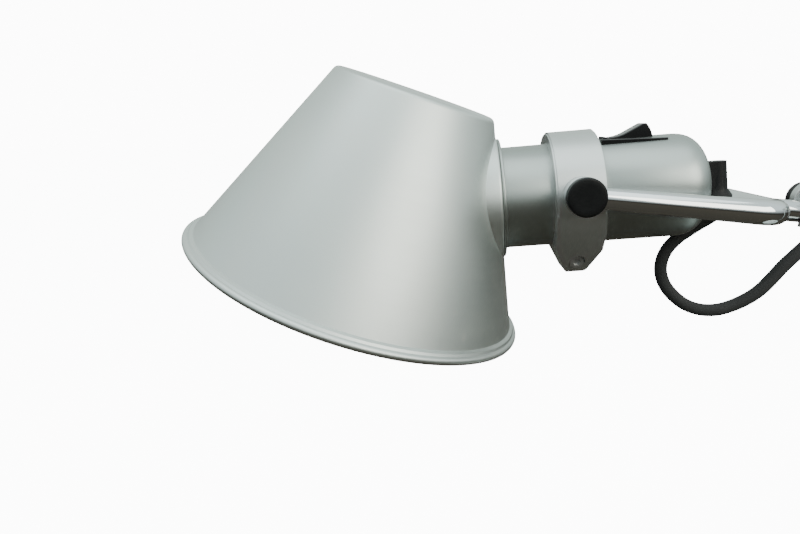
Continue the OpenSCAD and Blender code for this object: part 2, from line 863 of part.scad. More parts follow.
module switch_bezel() {
    color("black")
    at_tube()
    difference() {
        translate([0, bezel_y, 0]) rotate([90, 0, 0]) linear_extrude(height = 2 * bezel_y)
            polygon([[bezel_x0, bezel_floor], [bezel_x1, bezel_floor], [bezel_x1, bezel_rear_z],
                [bezel_x0, bezel_front_z]]);
        switch_window(0, 40);
    }
}

module switch_body() {
    color("black")
    at_tube()
    difference() {
        box_at(bezel_x0 + 1.2, bezel_x1 - 1.2, -bezel_y + 1.4, bezel_y - 1.4, switch_floor - 1.5, bezel_floor);
        switch_window(switch_floor, 40);
    }
}

module rocker() {
    color("black")
    at_tube()
    translate([0, rocker_y, 0]) rotate([90, 0, 0]) linear_extrude(height = 2 * rocker_y)
        polygon([[16.2, 26.7], [18.4, 26], [20.8, 26], [23.2, 26.3], [25.6, 26.95], [28.2, 28.1],
            [32.2, 30], [35.4, 31.5], [36.8, 31.4], [38.2, 29.4], [39.2, 27], [39.7, 24.4],
            [38.6, 20.2], [36, 17.4], [28.3, 15.6], [20.6, 17.8], [17, 20.8], [16.2, 23.8]]);
}

// ---- Wiring at the head's rear ----
module terminal_block() {
    color("ivory")
    at_tube() difference() {
        box_at(45, 56, -9, 9, -13, -5);
        for (y = [-5, 0, 5]) translate([0, y, -9]) bar_x(1.4, 44, 57);
    }
}

module head_wires() {
    color("saddlebrown")
    at_tube()
    for (y = [-5, 5]) translate([0, y, -9]) bar_x(1, holder_x + holder_l, 45);
}

module cord_gland() {
    color("black")
    at_tube()
    difference() {
        union() {
            box_at(gland_x - 14, gland_x, -gland_r1, gland_r1, gland_bottom, gland_top);
            translate([gland_x, 0, gland_bottom]) {
                cylinder(r1 = gland_r0, r2 = gland_r1, h = gland_top - gland_bottom);
                translate([0, 0, -3]) cylinder(r1 = collar_r, r2 = gland_r0, h = 3);
                translate([0, 0, -5.4]) cylinder(r = collar_r, h = 2.4);
                translate([0, 0, -6.7]) cylinder(r1 = collar_r - 1, r2 = collar_r, h = 1.3);
            }
        }
        housing_form(tube_r, housing_l, dome_l);
    }
}

module strain_relief() {
    color("black")
    at_tube() swept(RELIEF, RELIEF_R, 12);
}

base_pad();
base_weight();
base_cover();
base_bush();
base_gland();
base_screws();
swivel_post();
post_ring();
post_pin();
post_caps();
lower_arm_tube();
lower_eye();
elbow_clevis();
lower_spring();
lower_spring_hook();
lower_lead();
elbow_pin();
elbow_caps();
upper_arm_tube();
elbow_eye();
tip_bush();
upper_spring();
upper_spring_hook();
upper_lead();
tip_eye();
tip_ring();
fork_rod();
wrist_block();
wrist_pin();
wrist_washer();
wrist_nut();
cord_ferrule();
pivot_caps();
friction_washers();
head_cord();
shade();
shade_flange();
shade_lock_ring();
neck_tube();
rear_housing();
clamp_ring();
clamp_screw();
clamp_nut();
pivot_screws();
lamp_holder();
contact_tongue();
bulb_cap();
bulb_glass();
switch_bezel();
switch_body();
terminal_block();
head_wires();
cord_gland();
strain_relief();
rocker();
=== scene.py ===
"""Visual model of a jointed desk lamp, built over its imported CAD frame."""

import json
import logging
import math
from collections.abc import Callable, Sequence
from dataclasses import dataclass
from enum import Enum

import bmesh
import bpy
from mathutils import Matrix, Vector


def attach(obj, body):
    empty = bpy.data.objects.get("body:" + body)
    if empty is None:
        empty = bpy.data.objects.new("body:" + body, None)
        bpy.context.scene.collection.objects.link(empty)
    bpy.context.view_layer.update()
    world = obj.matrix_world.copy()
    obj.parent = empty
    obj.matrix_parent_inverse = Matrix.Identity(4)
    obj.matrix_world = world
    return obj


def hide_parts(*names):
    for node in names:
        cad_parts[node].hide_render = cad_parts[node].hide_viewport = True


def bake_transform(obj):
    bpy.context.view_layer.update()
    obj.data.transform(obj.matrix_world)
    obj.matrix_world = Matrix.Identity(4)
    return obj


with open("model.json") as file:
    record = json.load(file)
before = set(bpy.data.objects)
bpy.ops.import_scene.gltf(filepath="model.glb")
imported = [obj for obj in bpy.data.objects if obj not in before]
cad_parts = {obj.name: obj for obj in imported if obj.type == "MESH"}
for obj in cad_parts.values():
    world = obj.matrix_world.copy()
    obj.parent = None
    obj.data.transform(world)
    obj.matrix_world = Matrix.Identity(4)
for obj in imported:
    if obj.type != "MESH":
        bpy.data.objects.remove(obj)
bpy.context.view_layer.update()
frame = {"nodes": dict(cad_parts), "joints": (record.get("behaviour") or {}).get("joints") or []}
MM = 0.001
LOG = logging.getLogger("desk_lamp")

Profile = list[tuple[float, float]]


class Turning(Enum):
    """Direction that the fine lines of a metal finish run in."""

    NONE = "none"
    ROUND = "round"
    LENGTH = "length"


def joint_point(name: str) -> Vector:
    """Finds where a joint turns.

    Args:
        name: The joint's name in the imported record.

    Returns:
        The joint's position in the row frame, in metres.
    """
    for joint in frame["joints"]:
        if joint["name"] == name:
            return Vector(joint["pos_m"])
    raise KeyError(name)


def turned(axis: str, degrees: float) -> Matrix:
    """Returns a 4 by 4 rotation about one axis."""
    return Matrix.Rotation(math.radians(degrees), 4, axis)


def moved(x: float, y: float, z: float) -> Matrix:
    """Returns a 4 by 4 translation, from millimetres."""
    return Matrix.Translation(Vector((x, y, z)) * MM)


@dataclass(frozen=True)
class Places:
    """Local frames of the lamp's sub-assemblies at rest, angles in degrees and lengths in millimetres."""

    lower_lean: float = 25.0
    upper_fall: float = 20.0
    fork_fall: float = 4.6
    head_rise: float = 4.9
    shade_roll: float = 3.5
    shade_lean: float = 23.6
    tube_drop: float = 2.4
    rim_x: float = -112.8
    rim_z: float = -35.7
    wrist_x: float = 124.1
    wrist_z: float = 3.6

    def level(self) -> Matrix:
        """Returns the level frame at the head's pivot."""
        return Matrix.Translation(joint_point("head_tilt"))

    def tube(self) -> Matrix:
        """Returns the frame of the head's tube, +X to its rear."""
        return self.level() @ turned("Y", -self.head_rise) @ moved(0, 0, -self.tube_drop)

    def shade(self) -> Matrix:
        """Returns the shade's frame, with the rim at its origin and +Z to its closed top."""
        rim = moved(self.rim_x, 0, self.rim_z)
        return self.tube() @ turned("X", self.shade_roll) @ rim @ turned("Y", self.shade_lean)

    def fork(self) -> Matrix:
        """Returns the fork's frame, +X along its stem."""
        return self.level() @ turned("Y", self.fork_fall)

    def wrist(self) -> Matrix:
        """Returns the frame of the fork's pivot on the arm."""
        return self.fork() @ moved(self.wrist_x, 0, self.wrist_z)

    def lower(self) -> Matrix:
        """Returns the lower arm's frame, +Z along it."""
        return Matrix.Translation(joint_point("lower_tilt")) @ turned("Y", self.lower_lean)

    def elbow(self) -> Matrix:
        """Returns the level frame at the elbow."""
        return Matrix.Translation(joint_point("elbow_bend"))

    def upper(self) -> Matrix:
        """Returns the upper arm's frame, +Z along it."""
        return self.elbow() @ turned("Y", -90 - self.upper_fall)


PLACES = Places()


# ---- Finishes ----
class NodeTree:
    """Small helper that adds and links nodes in a shader tree."""

    def __init__(self, tree: bpy.types.NodeTree) -> None:
        """Keeps the tree that nodes are added to."""
        self.tree = tree

    def add(self, kind: str, **values: object) -> bpy.types.Node:
        """Adds a node.

        Args:
            kind: The node's type name, without the ShaderNode prefix.
            **values: Attributes set on the node.

        Returns:
            The new node.
        """
        node = self.tree.nodes.new("ShaderNode" + kind)
        for name, value in values.items():
            setattr(node, name, value)
        return node

    def link(self, source: bpy.types.NodeSocket, target: bpy.types.NodeSocket) -> None:
        """Links two sockets."""
        self.tree.links.new(source, target)

    def ramp(self, source: bpy.types.NodeSocket, low: float, high: float) -> bpy.types.NodeSocket:
        """Maps a value between two limits to 0 and 1.

        Args:
            source: The value.
            low: The value that becomes 0.
            high: The value that becomes 1.

        Returns:
            The mapped value's socket.
        """
        node = self.add("MapRange")
        node.inputs["From Min"].default_value = low
        node.inputs["From Max"].default_value = high
        self.link(source, node.inputs["Value"])
        return node.outputs["Result"]

    def math(self, operation: str, a: bpy.types.NodeSocket | float, b: bpy.types.NodeSocket | float) -> bpy.types.NodeSocket:
        """Adds a Math node.

        Args:
            operation: The node's operation.
            a: The first value or its socket.
            b: The second value or its socket.

        Returns:
            The result's socket.
        """
        node = self.add("Math", operation=operation)
        for socket, value in zip(node.inputs, (a, b)):
            if isinstance(value, (int, float)):
                socket.default_value = value
            else:
                self.link(value, socket)
        return node.outputs[0]


class SurfaceDetail:
    """Node group shared by every finish: grain, lines, smudges and scuffs that change over a surface."""

    NAME = "surface_detail"
    INPUTS = (
        ("Vector", "NodeSocketVector", None),
        ("Colour", "NodeSocketColor", (0.5, 0.5, 0.5, 1.0)),
        ("Worn Colour", "NodeSocketColor", (0.6, 0.6, 0.6, 1.0)),
        ("Colour Change", "NodeSocketFloat", 0.1),
        ("Roughness Low", "NodeSocketFloat", 0.3),
        ("Roughness High", "NodeSocketFloat", 0.4),
        ("Grain Scale", "NodeSocketFloat", 900.0),
        ("Grain Depth", "NodeSocketFloat", 0.5),
        ("Line Vector", "NodeSocketVector", None),
        ("Line Depth", "NodeSocketFloat", 0.0),
        ("Smudge Scale", "NodeSocketFloat", 20.0),
        ("Scuffs", "NodeSocketFloat", 0.2),
    )
    OUTPUTS = (("Colour", "NodeSocketColor"), ("Roughness", "NodeSocketFloat"), ("Height", "NodeSocketFloat"))

    @classmethod
    def get(cls) -> bpy.types.NodeTree:
        """Returns the group, and builds it the first time."""
        found = bpy.data.node_groups.get(cls.NAME)
        return found if found else cls._build()

    @classmethod
    def _build(cls) -> bpy.types.NodeTree:
        """Builds the group.

        Returns:
            The new node group.
        """
        tree = bpy.data.node_groups.new(cls.NAME, "ShaderNodeTree")
        for name, kind, default in cls.INPUTS:
            socket = tree.interface.new_socket(name=name, in_out="INPUT", socket_type=kind)
            if default is not None:
                socket.default_value = default
        for name, kind in cls.OUTPUTS:
            tree.interface.new_socket(name=name, in_out="OUTPUT", socket_type=kind)
        n = NodeTree(tree)
        source = tree.nodes.new("NodeGroupInput").outputs
        result = tree.nodes.new("NodeGroupOutput").inputs
        grain = n.add("TexNoise")
        grain.inputs["Detail"].default_value = 3.0
        n.link(source["Vector"], grain.inputs["Vector"])
        n.link(source["Grain Scale"], grain.inputs["Scale"])
        smudge = n.add("TexNoise")
        smudge.inputs["Detail"].default_value = 5.0
        smudge.inputs["Roughness"].default_value = 0.62
        n.link(source["Vector"], smudge.inputs["Vector"])
        n.link(source["Smudge Scale"], smudge.inputs["Scale"])
        smudge_mask = n.ramp(smudge.outputs["Fac"], 0.35, 0.7)
        lines = n.add("TexNoise")
        lines.inputs["Scale"].default_value = 1.0
        lines.inputs["Detail"].default_value = 2.0
        n.link(source["Line Vector"], lines.inputs["Vector"])
        stretched = n.add("Mapping")
        stretched.inputs["Scale"].default_value = (260.0, 38.0, 90.0)
        stretched.inputs["Rotation"].default_value = (0.4, 0.9, 0.3)
        n.link(source["Vector"], stretched.inputs["Vector"])
        scuff = n.add("TexNoise")
        scuff.inputs["Scale"].default_value = 1.0
        scuff.inputs["Detail"].default_value = 1.0
        n.link(stretched.outputs["Vector"], scuff.inputs["Vector"])
        patch = n.add("TexNoise")
        patch.inputs["Scale"].default_value = 26.0
        n.link(source["Vector"], patch.inputs["Vector"])
        scuff_mask = n.math(
            "MULTIPLY",
            n.math("MULTIPLY", n.ramp(scuff.outputs["Fac"], 0.68, 0.76), n.ramp(patch.outputs["Fac"], 0.58, 0.68)),
            source["Scuffs"],
        )
        mix = n.add("Mix", data_type="RGBA")
        amount = n.math("MULTIPLY", smudge_mask, source["Colour Change"])
        n.link(n.math("ADD", amount, n.math("MULTIPLY", scuff_mask, 0.5)), mix.inputs["Factor"])
        n.link(source["Colour"], mix.inputs["A"])
        n.link(source["Worn Colour"], mix.inputs["B"])
        n.link(mix.outputs["Result"], result["Colour"])
        rough = n.add("Mix", data_type="FLOAT")
        n.link(smudge_mask, rough.inputs["Factor"])
        n.link(source["Roughness Low"], rough.inputs["A"])
        n.link(source["Roughness High"], rough.inputs["B"])
        spread = n.math("MULTIPLY", n.math("SUBTRACT", lines.outputs["Fac"], 0.5), source["Line Depth"])
        rough_lines = n.math("ADD", rough.outputs["Result"], n.math("MULTIPLY", spread, 0.12))
        n.link(n.math("ADD", rough_lines, n.math("MULTIPLY", scuff_mask, 0.15)), result["Roughness"])
        height = n.math("MULTIPLY", grain.outputs["Fac"], source["Grain Depth"])
        height = n.math("ADD", height, spread)
        n.link(n.math("SUBTRACT", height, n.math("MULTIPLY", scuff_mask, 0.6)), result["Height"])
        return tree


@dataclass(frozen=True)
class Finish:
    """One finish of the lamp, made into a material with its own values.

    Colours are linear. Grain is in waves a metre, and lines are in waves a metre across them.
    """

    name: str
    slot: str
    colour: tuple[float, float, float]
    worn: tuple[float, float, float]
    change: float = 0.15
    metallic: float = 0.0
    rough: tuple[float, float] = (0.3, 0.4)
    grain_scale: float = 900.0
    grain_depth: float = 0.5
    bump: float = 0.05
    lines: Turning = Turning.NONE
    line_scale: float = 1500.0
    line_depth: float = 0.0
    smudge_scale: float = 20.0
    scuffs: float = 0.0
    anisotropic: float = 0.0
    coat: float = 0.0
    specular: float = 0.5
    transmission: float = 0.0
    subsurface: float = 0.0

    def material(self, place: Matrix | None = None, tag: str = "") -> bpy.types.Material:
        """Builds the material, or returns it if it is there.

        Args:
            place: The frame of the piece whose fine lines the finish follows.
            tag: Word added to the name when lines follow that frame.

        Returns:
            The material.
        """
        name = self.name + (f"_{tag}" if tag else "")
        found = bpy.data.materials.get(name)
        if found:
            return found
        material = bpy.data.materials.new(name)
        material.use_nodes = True
        n = NodeTree(material.node_tree)
        shader = material.node_tree.nodes["Principled BSDF"]
        detail = n.add("Group")
        detail.node_tree = SurfaceDetail.get()
        coordinates = n.add("TexCoord").outputs["Object"]
        n.link(coordinates, detail.inputs["Vector"])
        self._lines(n, coordinates, detail, place)
        values = {
            "Colour": (*self.colour, 1.0),
            "Worn Colour": (*self.worn, 1.0),
            "Colour Change": self.change,
            "Roughness Low": self.rough[0],
            "Roughness High": self.rough[1],
            "Grain Scale": self.grain_scale,
            "Grain Depth": self.grain_depth,
            "Smudge Scale": self.smudge_scale,
            "Scuffs": self.scuffs,
        }
        for key, value in values.items():
            detail.inputs[key].default_value = value
        bump = n.add("Bump")
        bump.inputs["Strength"].default_value = self.bump
        bump.inputs["Distance"].default_value = 0.0004
        n.link(detail.outputs["Height"], bump.inputs["Height"])
        n.link(detail.outputs["Colour"], shader.inputs["Base Color"])
        n.link(detail.outputs["Roughness"], shader.inputs["Roughness"])
        n.link(bump.outputs["Normal"], shader.inputs["Normal"])
        shader.inputs["Metallic"].default_value = self.metallic
        shader.inputs["Anisotropic"].default_value = self.anisotropic
        shader.inputs["Coat Weight"].default_value = self.coat
        shader.inputs["Coat Roughness"].default_value = 0.08
        shader.inputs["Specular IOR Level"].default_value = self.specular
        shader.inputs["Transmission Weight"].default_value = self.transmission
        shader.inputs["Subsurface Weight"].default_value = self.subsurface
        shader.inputs["Subsurface Scale"].default_value = 0.004
        return material

    def _lines(self, n: NodeTree, coordinates: bpy.types.NodeSocket, detail: bpy.types.Node, place: Matrix | None) -> None:
        """Adds the fine turned or drawn lines that follow a piece's own axis.

        Args:
            n: The material's tree.
            coordinates: Object coordinates.
            detail: The group node that takes the lines.
            place: The piece's frame, whose Z is the axis.
        """
        if self.lines is Turning.NONE or place is None:
            return
        inverse = place.inverted()
        local = n.add("Mapping")
        local.inputs["Location"].default_value = inverse.to_translation()
        local.inputs["Rotation"].default_value = inverse.to_euler("XYZ")
        n.link(coordinates, local.inputs["Vector"])
        stretch = n.add("Mapping")
        across, along = self.line_scale, 12.0
        size = (along, along, across) if self.lines is Turning.ROUND else (across, across, along)
        stretch.inputs["Scale"].default_value = size
        n.link(local.outputs["Vector"], stretch.inputs["Vector"])
        n.link(stretch.outputs["Vector"], detail.inputs["Line Vector"])
        detail.inputs["Line Depth"].default_value = self.line_depth


SATIN = Finish(
    "satin_aluminium", "satin_aluminium", (0.64, 0.68, 0.665), (0.7, 0.71, 0.66), 0.4, 1.0, (0.42, 0.48), 2600.0, 0.35,
    0.07, Turning.ROUND, 1400.0, 0.5, 14.0, 0.5, 0.25,
)
DRAWN = Finish(
    "drawn_aluminium", "satin_aluminium", (0.41, 0.445, 0.43), (0.45, 0.465, 0.44), 0.3, 1.0, (0.36, 0.42), 2600.0, 0.3,
    0.05, Turning.ROUND, 1800.0, 0.4, 20.0, 0.35, 0.2,
)
CAST = Finish(
    "cast_aluminium", "cast_aluminium", (0.23, 0.26, 0.25), (0.28, 0.3, 0.28), 0.3, 1.0, (0.38, 0.48), 1500.0, 1.0, 0.16,
    smudge_scale=40.0, scuffs=0.6,
)
CHROME = Finish(
    "polished_chrome", "chrome", (0.74, 0.76, 0.78), (0.6, 0.57, 0.52), 0.25, 1.0, (0.04, 0.1), 700.0, 0.5, 0.03,
    Turning.LENGTH, 500.0, 0.6, 60.0, 0.4,
)
STEEL = Finish(
    "plain_steel", "steel", (0.42, 0.42, 0.41), (0.3, 0.29, 0.27), 0.4, 1.0, (0.25, 0.4), 1200.0, 0.6, 0.08, scuffs=0.5,
)
IRON = Finish("raw_iron", "iron", (0.05, 0.048, 0.045), (0.09, 0.07, 0.055), 0.6, 0.6, (0.55, 0.75), 400.0, 1.0, 0.5)
MATTE_BLACK = Finish(
    "matte_black", "black_plastic", (0.006, 0.006, 0.0065), (0.014, 0.014, 0.014), 0.4, 0.0, (0.36, 0.5), 2600.0, 1.0, 0.14,
    smudge_scale=60.0, scuffs=0.25, specular=0.22,
)
GLOSS_BLACK = Finish(
    "gloss_black", "black_gloss", (0.004, 0.004, 0.0045), (0.01, 0.01, 0.011), 0.3, 0.0, (0.09, 0.18), 900.0, 0.4, 0.02,
    smudge_scale=80.0, scuffs=0.3, coat=0.3,
)
RUBBER = Finish(
    "black_rubber", "black_rubber", (0.007, 0.0075, 0.008), (0.016, 0.016, 0.017), 0.5, 0.0, (0.34, 0.48), 1500.0, 1.0, 0.04,
    smudge_scale=45.0, scuffs=0.2, specular=0.2,
)
WHITE_PLASTIC = Finish(
    "white_thermoset", "white_plastic", (0.72, 0.71, 0.66), (0.6, 0.57, 0.5), 0.3, 0.0, (0.25, 0.35), 1200.0, 0.5, 0.04,
    subsurface=0.05,
)
WHITE_LACQUER = Finish(
    "white_lacquer", "satin_aluminium", (0.78, 0.78, 0.75), (0.7, 0.68, 0.62), 0.25, 0.0, (0.28, 0.4), 1800.0, 0.8, 0.06,
    scuffs=0.2,
)
BRASS = Finish("plain_brass", "brass", (0.6, 0.42, 0.16), (0.4, 0.27, 0.1), 0.4, 1.0, (0.25, 0.4), 900.0, 0.5, 0.05)
CAP_METAL = Finish(
    "rolled_cap", "cap_aluminium", (0.6, 0.6, 0.6), (0.5, 0.5, 0.48), 0.3, 1.0, (0.2, 0.32), 900.0, 0.5, 0.05,
)
OPAL = Finish(
    "opal_glass", "opal_glass", (0.85, 0.85, 0.82), (0.8, 0.8, 0.76), 0.2, 0.0, (0.12, 0.2), 600.0, 0.3, 0.02, coat=0.4,
    subsurface=0.3,
)


# ---- Pieces ----
def new_object(name: str, mesh: bpy.types.Mesh, materials: Sequence[bpy.types.Material]) -> bpy.types.Object:
    """Links a mesh to the scene as one piece.

    Args:
        name: The piece's name.
        mesh: Its finished mesh.
        materials: Its materials, in the order of the faces' material numbers.

    Returns:
        The new object, at the origin.
    """
    piece = bpy.data.objects.new(name, mesh)
    bpy.context.scene.collection.objects.link(piece)
    for material in materials:
        mesh.materials.append(material)
    return piece


def smooth_by_angle(bm: bmesh.types.BMesh, degrees: float) -> None:
    """Shades a mesh smooth and marks its corners sharp.

    Args:
        bm: The mesh.
        degrees: Edges that turn more than this are sharp.
    """
    limit = math.radians(degrees)
    for face in bm.faces:
        face.smooth = True
    for edge in bm.edges:
        edge.smooth = not (len(edge.link_faces) == 2 and edge.calc_face_angle(0.0) > limit)


def keep_corners(piece: bpy.types.Object) -> None:
    """Adds weighted normals, so that flat faces stay flat beside rounded corners."""
    modifier = piece.modifiers.new("weighted_normals", "WEIGHTED_NORMAL")
    modifier.keep_sharp = True


def to_mesh(name: str, bm: bmesh.types.BMesh) -> bpy.types.Mesh:
    """Writes a bmesh to a new mesh and frees it."""
    mesh = bpy.data.meshes.new(name)
    bm.to_mesh(mesh)
    bm.free()
    return mesh


def spin_profile(bm: bmesh.types.BMesh, profile: Profile, steps: int, number: int = 0) -> None:
    """Spins a closed or open outline about Z.

    Args:
        bm: The mesh that the faces are added to.
        profile: Radius and height of each point, in millimetres.
        steps: Steps of the full turn.
        number: Material number of the new faces.
    """
    verts = [bm.verts.new((r * MM, 0.0, z * MM)) for r, z in profile]
    edges = [bm.edges.new(pair) for pair in zip(verts, verts[1:])]
    before = set(bm.faces)
    bmesh.ops.spin(
        bm, geom=verts + edges, cent=(0, 0, 0), axis=(0, 0, 1), angle=2 * math.pi, steps=steps, use_merge=True,
        use_normal_flip=False, use_duplicate=False,
    )
    bmesh.ops.remove_doubles(bm, verts=bm.verts[:], dist=1e-6)
    for face in bm.faces:
        if face not in before:
            face.material_index = number


def rounded(points: Profile, radius: float, steps: int = 3) -> Profile:
    """Rounds the inner corners of an outline.

    Args:
        points: The outline's corners, radius and height in millimetres.
        radius: How far each corner is cut back.
        steps: Points on each rounded corner, less one.

    Returns:
        The outline with its corners rounded.
    """
    result: Profile = [points[0]]
    for before, here, after in zip(points, points[1:], points[2:]):
        a, b, c = Vector(before), Vector(here), Vector(after)
        cut = min(radius, (a - b).length * 0.45, (c - b).length * 0.45)
        start, end = b + (a - b).normalized() * cut, b + (c - b).normalized() * cut
        for i in range(steps + 1):
            t = i / steps
            point = start * (1 - t) ** 2 + b * 2 * t * (1 - t) + end * t**2
            result.append((point.x, point.y))
    result.append(points[-1])
    return result


def spun_piece(
    name: str, profile: Profile, place: Matrix, material: bpy.types.Material, steps: int = 96, sharp: float = 35.0
) -> bpy.types.Object:
    """Makes a round piece from an outline that starts and ends on, or runs back to, its start.

    Args:
        name: The piece's name.
        profile: Radius and height of the outline's points, in millimetres.
        place: Frame whose Z is the piece's axis.
        material: The piece's material.
        steps: Steps of the full turn.
        sharp: Edges that turn more than this, in degrees, are sharp.

    Returns:
        The piece.
    """
    bm = bmesh.new()
    spin_profile(bm, profile, steps)
    bmesh.ops.recalc_face_normals(bm, faces=bm.faces[:])
    smooth_by_angle(bm, sharp)
    bm.transform(place)
    piece = new_object(name, to_mesh(name, bm), [material])
    return piece


def copied_piece(
    name: str, node: str, material: bpy.types.Material, bevel: float, segments: int = 3, angle: float = 32.0
) -> bpy.types.Object:
    """Makes a merged copy of a CAD node with rounded corners.

    Args:
        name: The piece's name.
        node: The CAD node that it stands for.
        material: The piece's material.
        bevel: Width of the rounded corners, in millimetres.
        segments: Segments of the corners.
        angle: Edges that turn more than this, in degrees, are rounded.

    Returns:
        The piece.
    """
    bm = bmesh.new()
    bm.from_mesh(frame["nodes"][node].data)
    bmesh.ops.remove_doubles(bm, verts=bm.verts[:], dist=2e-6)
    bmesh.ops.dissolve_limit(bm, angle_limit=math.radians(0.6), verts=bm.verts[:], edges=bm.edges[:], delimit={"NORMAL"})
    smooth_by_angle(bm, angle)
    piece = new_object(name, to_mesh(name, bm), [material])
    if bevel > 0:
        modifier = piece.modifiers.new("rounded_corners", "BEVEL")
        modifier.width = bevel * MM
        modifier.segments = segments
        modifier.limit_method = "ANGLE"
        modifier.angle_limit = math.radians(angle)
        modifier.harden_normals = False
    keep_corners(piece)
    return piece


def report(piece: bpy.types.Object, body: str, nodes: Sequence[str]) -> bpy.types.Object:
    """Puts a piece on its body and says which CAD nodes it stands for.

    Args:
        piece: The piece.
        body: The CAD body that it rides on.
        nodes: The CAD nodes that it replaces.

    Returns:
        The same piece.
    """
    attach(piece, body)
    if nodes:
        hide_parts(*nodes)
    LOG.info("%s rides on %s, for %s", piece.name, body, ", ".join(nodes) or "nothing")
    return piece


def dress(node: str, finish: Finish) -> None:
    """Gives a CAD node that stays in view its material."""
    mesh = frame["nodes"][node].data
    mesh.materials.clear()
    mesh.materials.append(finish.material())
    LOG.info("%s keeps its shape, in %s", node, finish.name)


def smooth_line(points: Sequence[Vector], between: int) -> list[Vector]:
    """Runs a smooth curve through points.

    Args:
        points: The points, in order.
        between: Steps from each point to the next.

    Returns:
        Points along the curve, both ends among them.
    """
    result: list[Vector] = []
    last = len(points) - 1
    for i in range(last):
        p0, p1, p2, p3 = points[max(i - 1, 0)], points[i], points[i + 1], points[min(i + 2, last)]
        for k in range(between):
            t = k / between
            result.append(
                0.5 * (2 * p1 + (p2 - p0) * t + (2 * p0 - 5 * p1 + 4 * p2 - p3) * t**2 + (3 * p1 - p0 - 3 * p2 + p3) * t**3)
            )
    result.append(points[last].copy())
    return result


def tube_along(name: str, points: Sequence[Vector], radii: Sequence[float], material: bpy.types.Material) -> bpy.types.Object:
    """Makes a round tube with closed ends along points.

    Args:
        name: The piece's name.
        points: The centre line, in metres in the row frame.
        radii: Radius at each point, in metres.
        material: The piece's material.

    Returns:
        The piece, as a mesh.
    """
    curve = bpy.data.curves.new(name, "CURVE")
    curve.dimensions = "3D"
    curve.bevel_depth = 1.0
    curve.bevel_resolution = 8
    curve.use_fill_caps = True
    spline = curve.splines.new("POLY")
    spline.points.add(len(points) - 1)
    for target, point, radius in zip(spline.points, points, radii):
        target.co = (*point, 1.0)
        target.radius = radius
    source = bpy.data.objects.new(name + "_line", curve)
    bpy.context.scene.collection.objects.link(source)
    bpy.context.view_layer.update()
    mesh = bpy.data.meshes.new_from_object(source.evaluated_get(bpy.context.evaluated_depsgraph_get()))
    bpy.data.objects.remove(source)
    bm = bmesh.new()
    bm.from_mesh(mesh)
    bmesh.ops.remove_doubles(bm, verts=bm.verts[:], dist=1e-6)
    bmesh.ops.recalc_face_normals(bm, faces=bm.faces[:])
    smooth_by_angle(bm, 50.0)
    bm.to_mesh(mesh)
    bm.free()
    mesh.materials.clear()
    return new_object(name, mesh, [material])


@dataclass
class HeadCord:
    """Cord from the head's gland to the ferrule at the arm's end, in millimetres."""

    diameter: float = 6.5
    relief_radii: tuple[float, ...] = (5.2, 4.9, 4.5, 4.0, 3.6)
    relief: tuple[tuple[float, float, float], ...] = (
        (72, 0, -10.3), (71.4, 1.6, -14.2), (69, 4, -17.6), (63.6, 6.5, -22.1), (57.7, 8.2, -27),
    )
    route: tuple[tuple[float, float, float], ...] = (
        (60, 8, -24.5), (55, 9, -30.5), (52, 9, -37), (51.5, 8.5, -44), (54, 8, -51), (59, 7, -57), (65.5, 6, -61.5),
        (73, 5, -63.5), (80.5, 4, -63), (87.5, 3.5, -60.5), (94, 2.5, -56.5), (99.5, 1.5, -51.5), (104.5, 1, -45),
        (109, 0.5, -38.5), (113.5, 0, -33), (118.5, 0, -27.5), (121, 0, -24.8),
    )

    def build(self) -> None:
        material = RUBBER.material()
        tube = PLACES.tube()
        points = smooth_line([tube @ (Vector(p) * MM) for p in self.relief], 4)
        radii = [r.x for r in smooth_line([Vector((r * MM, 0, 0)) for r in self.relief_radii], 4)]
        relief = tube_along("cord_relief", points, radii, material)
        report(relief, "head", ["strain_relief"])
        level = PLACES.level()
        line = smooth_line([level @ (Vector(p) * MM) for p in self.route], 4)
        cord = tube_along("head_cord_flex", line, [self.diameter / 2 * MM] * len(line), material)
        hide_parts("head_cord")
        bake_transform(cord)


